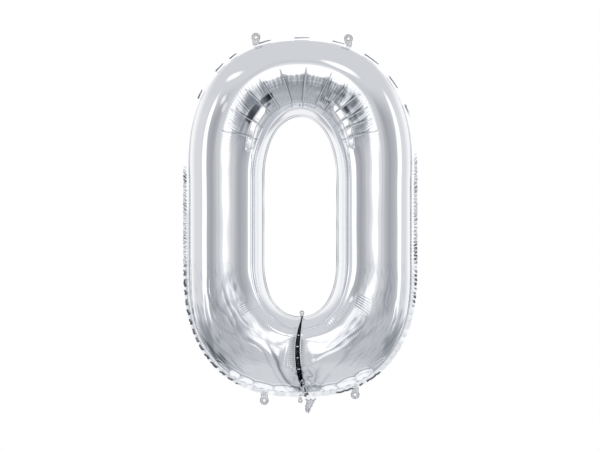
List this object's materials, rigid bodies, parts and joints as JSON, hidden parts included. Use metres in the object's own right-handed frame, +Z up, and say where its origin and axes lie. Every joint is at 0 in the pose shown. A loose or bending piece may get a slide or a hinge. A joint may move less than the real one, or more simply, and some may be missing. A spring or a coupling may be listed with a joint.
{
  "type": "foil number balloon",
  "caption": "Inflated foil balloon in the shape of a zero, with a flat sealed rim, a slit across the bottom, folding hanging tabs and a filling tail with a film valve.",
  "frame": {"origin": "bottom centre of the bounding box: in the seam plane, below the middle of the ring, level with the lowest edge of the tail's valve lips", "axes": "+Z up the 0, +X to the right as seen from the front, front faces -Y; the seam plane of both panels is y = 0"},
  "size_m": [0.56, 0.1792, 0.9039],
  "materials": {
    "silver_foil": "bright metallised film, mirror-like, crinkled along its seams",
    "clear_film": "thin clear polyethylene film, slightly milky"
  },
  "bodies": {
    "foil_body": {"front_foil_panel": "silver_foil", "back_foil_panel": "silver_foil"},
    "top_left_tab": {"hang_tab_top_left": "silver_foil"},
    "top_right_tab": {"hang_tab_top_right": "silver_foil"},
    "bottom_left_tab": {"hang_tab_bottom_left": "silver_foil"},
    "bottom_right_tab": {"hang_tab_bottom_right": "silver_foil"},
    "tail_tab": {"tail_tab": "silver_foil"},
    "hole_tab": {"hole_tab": "silver_foil"},
    "tail_front": {"tail_front_ply": "silver_foil", "valve_front_lip": "clear_film"},
    "tail_back": {"tail_back_ply": "silver_foil", "valve_back_lip": "clear_film"},
    "valve_front": {"valve_front_flap": "clear_film"},
    "valve_back": {"valve_back_flap": "clear_film"}
  },
  "joints": [
    {"name": "top_left_tab_bend", "type": "hinge", "parent": "foil_body", "child": "top_left_tab", "pos_m": [-0.106, 0, 0.87838], "axis": [0.9438, 0, 0.3304], "range_deg": [-85, 85], "stiffness_Nm_per_rad": 0.0004},
    {"name": "top_right_tab_bend", "type": "hinge", "parent": "foil_body", "child": "top_right_tab", "pos_m": [0.115, 0, 0.87503], "axis": [0.9302, 0, -0.3671], "range_deg": [-85, 85], "stiffness_Nm_per_rad": 0.0004},
    {"name": "bottom_left_tab_bend", "type": "hinge", "parent": "foil_body", "child": "bottom_left_tab", "pos_m": [-0.086, 0, 0.0412], "axis": [0.9789, 0, -0.2044], "range_deg": [-85, 85], "stiffness_Nm_per_rad": 0.0004},
    {"name": "bottom_right_tab_bend", "type": "hinge", "parent": "foil_body", "child": "bottom_right_tab", "pos_m": [0.131, 0, 0.05487], "axis": [0.925, 0, 0.3799], "range_deg": [-85, 85], "stiffness_Nm_per_rad": 0.0004},
    {"name": "tail_tab_bend", "type": "hinge", "parent": "foil_body", "child": "tail_tab", "pos_m": [0, 0, 0.034], "axis": [1, 0, 0], "range_deg": [-85, 85], "stiffness_Nm_per_rad": 0.0004},
    {"name": "hole_tab_bend", "type": "hinge", "parent": "foil_body", "child": "hole_tab", "pos_m": [0.004, 0, 0.22706], "axis": [0.9994, 0, 0.0334], "range_deg": [-85, 85], "stiffness_Nm_per_rad": 0.0004},
    {"name": "tail_fold", "type": "hinge", "parent": "foil_body", "child": "tail_front", "pos_m": [0.024, 0, 0.03431], "axis": [1, 0, 0], "range_deg": [-85, 85], "stiffness_Nm_per_rad": 0.0004},
    {"name": "tail_mouth_open", "type": "hinge", "parent": "tail_front", "child": "tail_back", "pos_m": [0.024, 0, 0.03431], "axis": [1, 0, 0], "range_deg": [0, 30], "stiffness_Nm_per_rad": 0.0004},
    {"name": "valve_front_open", "type": "hinge", "parent": "foil_body", "child": "valve_front", "pos_m": [0.024, 0, 0.04833], "axis": [1, 0, 0], "range_deg": [0, 8], "stiffness_Nm_per_rad": 0.0004},
    {"name": "valve_back_open", "type": "hinge", "parent": "foil_body", "child": "valve_back", "pos_m": [0.024, 0, 0.04833], "axis": [1, 0, 0], "range_deg": [-8, 0], "stiffness_Nm_per_rad": 0.0004}
  ],
  "couplings": [
    {"joint": "valve_back_open", "follows": "valve_front_open", "ratio": -1}
  ]
}
